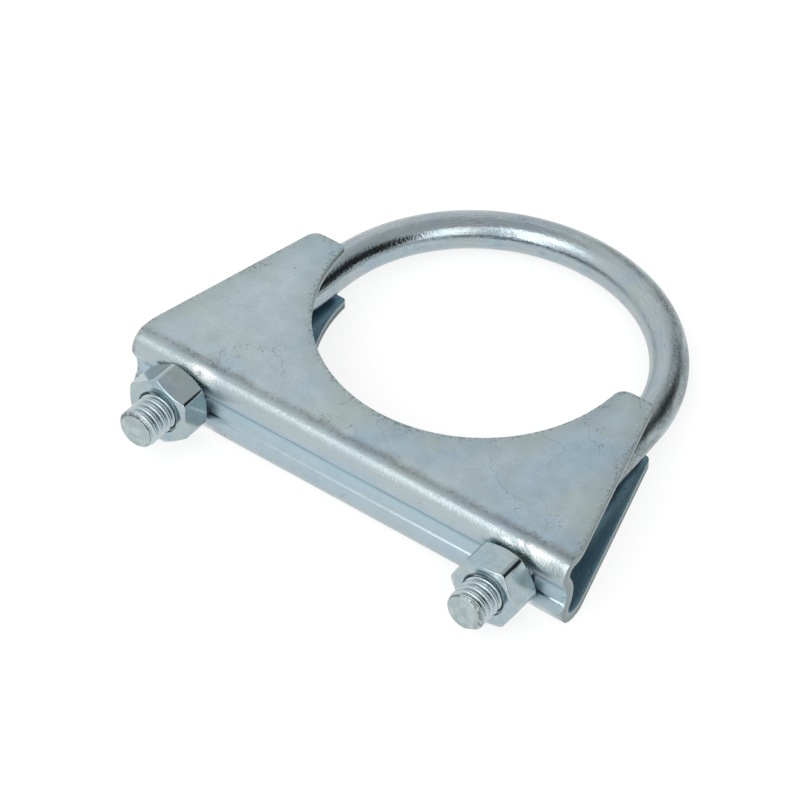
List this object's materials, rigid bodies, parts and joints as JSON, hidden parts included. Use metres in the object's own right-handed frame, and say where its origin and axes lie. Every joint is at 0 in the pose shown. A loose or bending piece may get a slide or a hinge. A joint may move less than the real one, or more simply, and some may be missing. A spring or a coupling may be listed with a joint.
{
  "type": "u-bolt pipe clamp",
  "caption": "U-bolt exhaust pipe clamp: a threaded round bow and a pressed channel saddle with horned cheeks, drawn together by hexagon nuts.",
  "frame": {"origin": "centre of the pipe seat, on the pipe's axis and midway between the two cheeks", "axes": "+X along the saddle from the left nut to the right nut, +Y from the nuts to the top of the bow, +Z along the pipe's axis and up as the clamp lies on its lower cheek"},
  "size_m": [0.0974, 0.0965, 0.0165],
  "materials": {
    "saddle_zinc": "bright zinc plate with a clear blue passivate, satin",
    "bolt_zinc": "bright zinc plate on drawn wire, satin to bright",
    "nut_zinc": "bright zinc plate on cold-formed nuts"
  },
  "bodies": {
    "saddle": {"saddle": "saddle_zinc"},
    "u_bolt": {"u_bolt": "bolt_zinc"},
    "nut_left": {"nut_left": "nut_zinc"},
    "nut_right": {"nut_right": "nut_zinc"}
  },
  "joints": [
    {"name": "nut_left_turn", "type": "hinge", "parent": "saddle", "child": "nut_left", "pos_m": [-0.037, -0.04704, 0.0009], "axis": [0, 0.9984, -0.0558], "range_deg": [-1275.59, 1913.39]},
    {"name": "nut_right_turn", "type": "hinge", "parent": "saddle", "child": "nut_right", "pos_m": [0.037, -0.04761, 0.00055], "axis": [0, 0.9984, -0.0558], "range_deg": [-1275.59, 1913.39]},
    {"name": "u_bolt_draw", "type": "slide", "parent": "saddle", "child": "u_bolt", "axis": [0, 0.9984, -0.0558], "range_m": [-0.0075, 0.005]}
  ],
  "couplings": [
    {"joint": "nut_left_turn", "follows": "u_bolt_draw", "rad_per_m": -4452.7},
    {"joint": "nut_right_turn", "follows": "u_bolt_draw", "rad_per_m": -4452.7}
  ]
}
